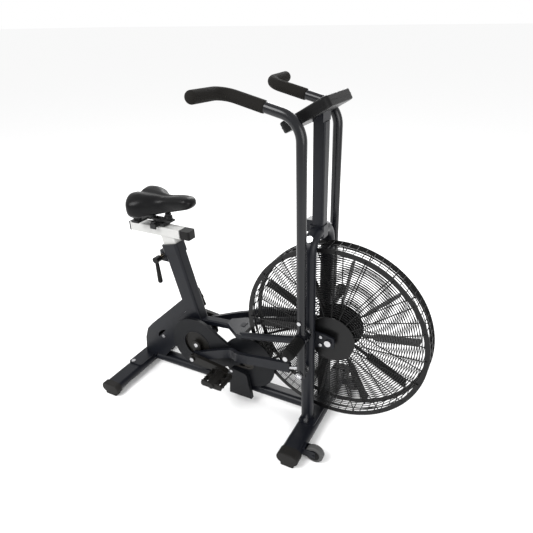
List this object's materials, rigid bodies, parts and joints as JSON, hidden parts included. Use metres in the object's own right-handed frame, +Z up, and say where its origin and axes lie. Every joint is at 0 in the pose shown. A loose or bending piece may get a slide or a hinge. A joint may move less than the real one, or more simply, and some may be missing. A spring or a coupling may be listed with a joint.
{
  "type": "air resistance exercise bike",
  "caption": "Upright exercise bike with a caged fan, swinging arm levers, cranks with pedals, a padded saddle on a sliding post, foot pegs and transport wheels.",
  "frame": {"origin": "centre of the footprint's bounding box, on the floor", "axes": "+X forward, from saddle to fan; +Y to the rider's left; +Z up"},
  "size_m": [1.308, 0.592, 1.2715],
  "materials": {
    "frame_black": "satin powder coat",
    "cap_rubber": "matte",
    "peg_rubber": "matte ribbed",
    "bright_steel": "polished",
    "chain_steel": "oiled",
    "cage_wire": "gloss",
    "fan_black": "satin",
    "cover_black": "satin",
    "console_plastic": "satin",
    "crank_dark": "satin",
    "pedal_plastic": "matte",
    "post_white": "satin",
    "saddle_leather": "gloss",
    "carriage_steel": "satin",
    "grip_foam": "matte foam",
    "handle_black": "gloss",
    "lever_plastic": "satin",
    "wheel_tyre": "matte"
  },
  "bodies": {
    "frame": {"main_rail": "frame_black", "mount_plates": "frame_black", "rear_stabilizer": "frame_black", "front_stabilizer": "frame_black", "rear_feet": "cap_rubber", "front_caps": "cap_rubber", "rear_upright": "frame_black", "rear_gusset": "frame_black", "seat_tube": "frame_black", "seat_collar": "frame_black", "upper_tube": "frame_black", "bottom_bracket": "frame_black", "fork_leg_right": "frame_black", "fork_leg_left": "frame_black", "mast": "frame_black", "console": "console_plastic", "console_bracket": "frame_black", "pivot_axles": "bright_steel", "foot_pegs": "peg_rubber", "fan_axle": "bright_steel", "axle_brackets": "frame_black", "cage_right": "cage_wire", "cage_left": "cage_wire", "cage_wires": "cage_wire", "cage_rim": "cage_wire", "chain_guard": "cover_black", "bracket_cover": "cover_black", "jackshaft_plates": "frame_black", "drive_chain": "chain_steel", "fan_chain": "chain_steel", "wheel_brackets": "frame_black", "frame_bolts": "bright_steel"},
    "crank": {"crank_axle": "crank_dark", "chainring": "crank_dark", "crank_arm_right": "crank_dark", "crank_arm_left": "crank_dark"},
    "pedal_right": {"pedal_right": "pedal_plastic"},
    "pedal_left": {"pedal_left": "pedal_plastic"},
    "rod_right": {"rod_right": "frame_black", "rod_end_right": "bright_steel"},
    "rod_left": {"rod_left": "frame_black", "rod_end_left": "bright_steel"},
    "arm_right": {"handle_right": "handle_black", "grip_right": "grip_foam", "arm_nut_right": "bright_steel"},
    "arm_left": {"handle_left": "handle_black", "grip_left": "grip_foam", "arm_nut_left": "bright_steel"},
    "fan": {"fan_rotor": "fan_black", "fan_sprocket": "chain_steel"},
    "jackshaft": {"jackshaft": "chain_steel", "jackshaft_disc": "cover_black"},
    "seat_post": {"seat_post": "post_white", "slider_tube": "post_white", "slider_caps": "lever_plastic"},
    "saddle": {"saddle_carriage": "carriage_steel", "saddle": "saddle_leather"},
    "seat_lever": {"seat_lever": "lever_plastic"},
    "wheel_right": {"wheel_right": "wheel_tyre"},
    "wheel_left": {"wheel_left": "wheel_tyre"}
  },
  "joints": [
    {"name": "crank_spin", "type": "hinge", "parent": "frame", "child": "crank", "pos_m": [-0.281, 0, 0.229], "axis": [0, 1, 0], "continuous": true},
    {"name": "jackshaft_spin", "type": "hinge", "parent": "frame", "child": "jackshaft", "pos_m": [-0.04, 0, 0.206], "axis": [0, 1, 0], "continuous": true},
    {"name": "fan_spin", "type": "hinge", "parent": "frame", "child": "fan", "pos_m": [0.311, 0, 0.4305], "axis": [0, 1, 0], "continuous": true},
    {"name": "pedal_right_spin", "type": "hinge", "parent": "crank", "child": "pedal_right", "pos_m": [-0.127, -0.154, 0.168], "axis": [0, 1, 0], "continuous": true},
    {"name": "pedal_left_spin", "type": "hinge", "parent": "crank", "child": "pedal_left", "pos_m": [-0.435, 0.154, 0.29], "axis": [0, 1, 0], "continuous": true},
    {"name": "rod_right_pivot", "type": "hinge", "parent": "crank", "child": "rod_right", "pos_m": [-0.278, -0.078, 0.186], "axis": [0, 1, 0], "continuous": true},
    {"name": "rod_left_pivot", "type": "hinge", "parent": "crank", "child": "rod_left", "pos_m": [-0.284, 0.078, 0.272], "axis": [0, 1, 0], "continuous": true},
    {"name": "arm_right_swing", "type": "hinge", "parent": "frame", "child": "arm_right", "pos_m": [0.238, -0.139, 0.468], "axis": [0, 1, 0], "range_deg": [-17, 17]},
    {"name": "arm_left_swing", "type": "hinge", "parent": "frame", "child": "arm_left", "pos_m": [0.238, 0.139, 0.468], "axis": [0, 1, 0], "range_deg": [-17, 17]},
    {"name": "seat_height", "type": "slide", "parent": "frame", "child": "seat_post", "axis": [-0.2408, 0, 0.9706], "range_m": [-0.02, 0.14]},
    {"name": "saddle_fore_aft", "type": "slide", "parent": "seat_post", "child": "saddle", "axis": [1, 0, 0], "range_m": [-0.05, 0.06]},
    {"name": "seat_lever_turn", "type": "hinge", "parent": "frame", "child": "seat_lever", "pos_m": [-0.446, -0.04, 0.586], "axis": [0, 1, 0], "range_deg": [-60, 60]},
    {"name": "wheel_right_spin", "type": "hinge", "parent": "frame", "child": "wheel_right", "pos_m": [0.327, -0.213, 0.034], "axis": [0, 1, 0], "continuous": true},
    {"name": "wheel_left_spin", "type": "hinge", "parent": "frame", "child": "wheel_left", "pos_m": [0.327, 0.213, 0.034], "axis": [0, 1, 0], "continuous": true}
  ],
  "couplings": [
    {"joint": "jackshaft_spin", "follows": "crank_spin", "ratio": 2.5},
    {"joint": "fan_spin", "follows": "crank_spin", "ratio": 6.25},
    {"joint": "rod_right_pivot", "follows": "crank_spin", "ratio": -1},
    {"joint": "rod_left_pivot", "follows": "crank_spin", "ratio": -1},
    {"joint": "arm_left_swing", "follows": "arm_right_swing", "ratio": -1}
  ]
}
